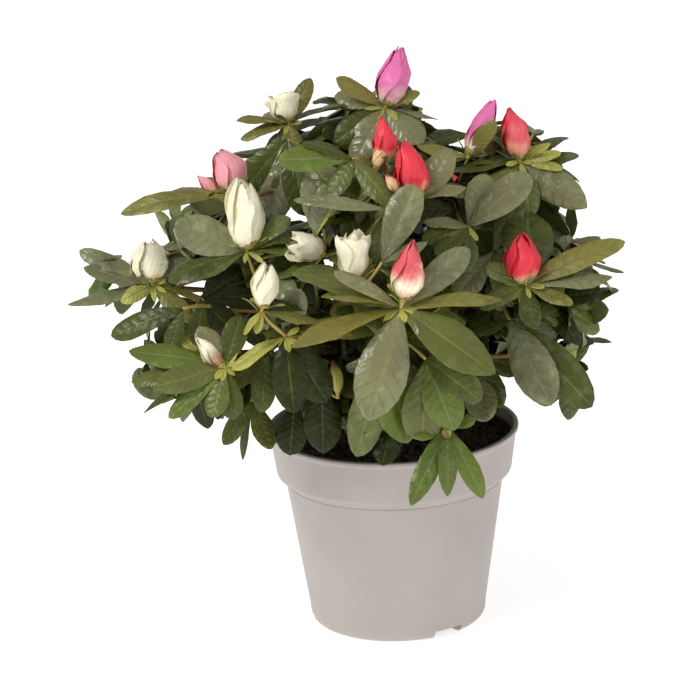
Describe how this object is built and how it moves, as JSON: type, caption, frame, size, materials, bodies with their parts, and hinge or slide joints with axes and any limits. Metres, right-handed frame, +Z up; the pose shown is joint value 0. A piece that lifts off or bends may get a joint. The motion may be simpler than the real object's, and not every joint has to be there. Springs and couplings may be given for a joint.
{
  "type": "azalea shrub",
  "caption": "Bushy evergreen flowering shrub with whorls of small oval leaves and furled flower buds, built together with its round plastic nursery pot.",
  "frame": {"origin": "middle of the pot's flat underside", "axes": "+Z up, -Y is the front of the plant, -X the side to which the crown reaches further"},
  "size_m": [0.277, 0.2673, 0.3038],
  "materials": {
    "pot": "warm grey moulded polypropylene, satin",
    "soil": "moist dark brown peat",
    "bark": "thin reddish brown bark, matt",
    "foliage": "dark green leathery leaves with red, pink and cream buds"
  },
  "bodies": {
    "root": {"pot": "pot", "soil": "soil", "stem": "bark", "bough_top": "bark", "bough_low_left": "bark", "bough_low_front_left": "bark", "bough_low_front_right": "bark", "bough_low_right": "bark", "bough_low_back_right": "bark", "bough_low_back_left": "bark", "bough_middle_left": "bark", "bough_middle_front_left": "bark", "bough_middle_front": "bark", "bough_middle_right": "bark", "bough_middle_back_right": "bark", "bough_middle_back": "bark", "bough_middle_back_left": "bark", "bough_upper_left": "bark", "bough_upper_front": "bark", "bough_upper_right": "bark", "bough_upper_back": "bark", "foliage_top": "foliage", "foliage_low_left": "foliage", "foliage_low_front_left": "foliage", "foliage_low_front_right": "foliage", "foliage_low_right": "foliage", "foliage_low_back_right": "foliage", "foliage_low_back_left": "foliage", "foliage_middle_left": "foliage", "foliage_middle_front_left": "foliage", "foliage_middle_front": "foliage", "foliage_middle_right": "foliage", "foliage_middle_back_right": "foliage", "foliage_middle_back": "foliage", "foliage_middle_back_left": "foliage", "foliage_upper_left": "foliage", "foliage_upper_front": "foliage", "foliage_upper_right": "foliage", "foliage_upper_back": "foliage"}
  },
  "joints": []
}
